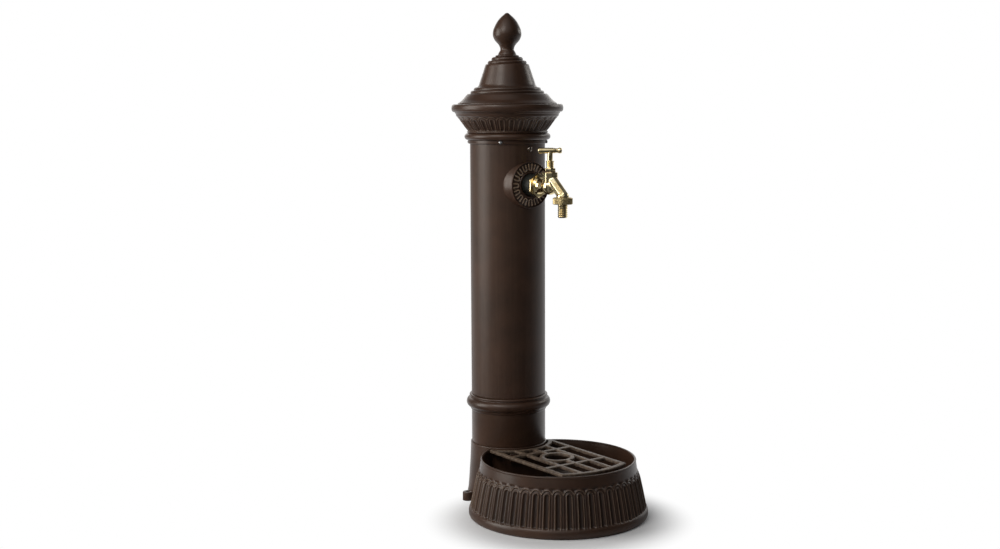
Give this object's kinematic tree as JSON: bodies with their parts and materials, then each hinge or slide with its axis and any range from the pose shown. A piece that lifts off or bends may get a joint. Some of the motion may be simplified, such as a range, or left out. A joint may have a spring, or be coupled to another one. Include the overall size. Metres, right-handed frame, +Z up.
{
  "type": "garden fountain",
  "caption": "Free-standing garden fountain: round column behind a fluted basin with lift-out grate, brass bib tap with cross handle and hose tail, fluted capital, stepped roof, bud finial.",
  "frame": {"origin": "middle of the footprint on the ground (bounding box bottom centre)", "axes": "+Z up, -Y to the front where the tap and the basin are, +X to the right seen from the front"},
  "size_m": [0.2809, 0.3637, 0.783],
  "materials": {
    "painted_casting": "satin dark brown powder coat on cast aluminium",
    "painted_tube": "satin dark brown powder coat on drawn aluminium tube",
    "brass_polished": "polished",
    "brass_plain": "dull machined",
    "screw_steel": "bright zinc",
    "screw_dark": "dark brown painted steel",
    "black_rubber": "matt",
    "fibre": "red fibre washer",
    "packing_white": "white sealing ring",
    "pipe_copper": null,
    "strainer_steel": "brushed stainless",
    "packer_plastic": "moulded"
  },
  "bodies": {
    "stand": {"base_casting": "painted_casting", "drain_waste": "strainer_steel", "drain_seal": "black_rubber", "drain_backnut": "packer_plastic", "column_collar": "painted_casting", "collar_bolts": "screw_steel", "collar_washers": "screw_steel", "column_tube": "painted_tube", "tube_screws": "screw_dark", "tap_rosette": "painted_casting", "rosette_screws": "screw_steel", "capital": "painted_casting", "capital_screws": "screw_steel", "roof": "painted_casting", "finial": "painted_casting", "finial_stud": "screw_steel", "finial_nut": "screw_steel", "head_bridge": "screw_steel", "bridge_screws": "screw_dark", "inlet_adaptor": "brass_plain", "inlet_nut": "brass_plain", "inlet_olive": "brass_plain", "pipe_grommet": "black_rubber", "riser_pipe": "pipe_copper", "elbow_nut": "brass_plain", "elbow_olive": "brass_plain", "tap_elbow": "brass_plain", "elbow_saddle": "packer_plastic", "tap_bush": "black_rubber", "tap_body": "brass_polished", "bonnet": "brass_polished", "bonnet_washer": "fibre", "gland_nut": "brass_polished", "gland_packing": "packing_white"},
    "valve": {"jumper": "brass_plain", "jumper_washer": "black_rubber"},
    "handle": {"spindle": "brass_polished", "handle_bar": "brass_polished"},
    "hose_end": {"hose_tail": "brass_polished", "union_washer": "black_rubber"},
    "union": {"union_nut": "brass_plain"},
    "grille": {"grate": "painted_casting"}
  },
  "joints": [
    {"name": "valve_lift", "type": "slide", "parent": "stand", "child": "valve", "axis": [0, 0, 1], "range_m": [0, 0.00625]},
    {"name": "handle_turn", "type": "hinge", "parent": "valve", "child": "handle", "pos_m": [0, -0.02045, 0.54], "axis": [0, 0, 1], "range_deg": [0, 900]},
    {"name": "hose_end_drop", "type": "slide", "parent": "stand", "child": "hose_end", "axis": [0, 0, -1], "range_m": [0, 0.00363]},
    {"name": "union_turn", "type": "hinge", "parent": "hose_end", "child": "union", "pos_m": [0, -0.05245, 0.492], "axis": [0, 0, -1], "range_deg": [0, 720]},
    {"name": "grate_lift", "type": "slide", "parent": "stand", "child": "grille", "axis": [0, 0, 1], "range_m": [0, 0.06]}
  ],
  "couplings": [
    {"joint": "valve_lift", "follows": "handle_turn", "m_per_rad": 0.00039789},
    {"joint": "hose_end_drop", "follows": "union_turn", "m_per_rad": 0.00028871}
  ]
}
